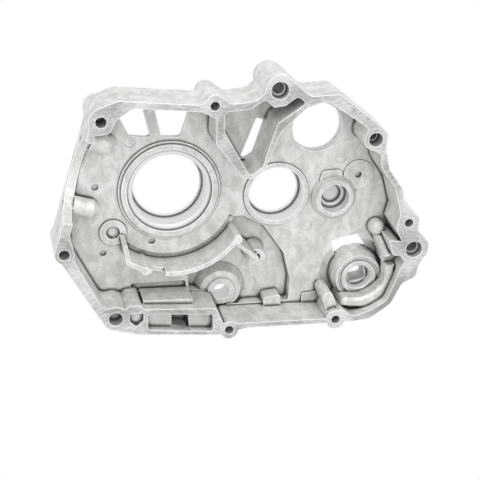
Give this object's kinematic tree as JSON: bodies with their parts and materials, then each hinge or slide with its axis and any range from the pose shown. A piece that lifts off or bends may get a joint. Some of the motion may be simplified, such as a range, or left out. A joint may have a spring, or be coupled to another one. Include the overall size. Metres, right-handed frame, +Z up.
{
  "type": "engine crankcase half",
  "caption": "Cast aluminium crankcase half for a small horizontal engine, with bearing seats, screw bosses, sump and cylinder mouth.",
  "frame": {"origin": "crankshaft axis where it crosses the joint face", "axes": "+X from the cylinder end to the gearbox end, +Y from the joint face into the casting, +Z up; it stands on its two bottom bosses"},
  "size_m": [0.2654, 0.046, 0.1921],
  "materials": {
    "cast_aluminium": "satin as-cast surface with fine machined joint face and bores"
  },
  "bodies": {
    "root": {"crankcase": "cast_aluminium"}
  },
  "joints": []
}
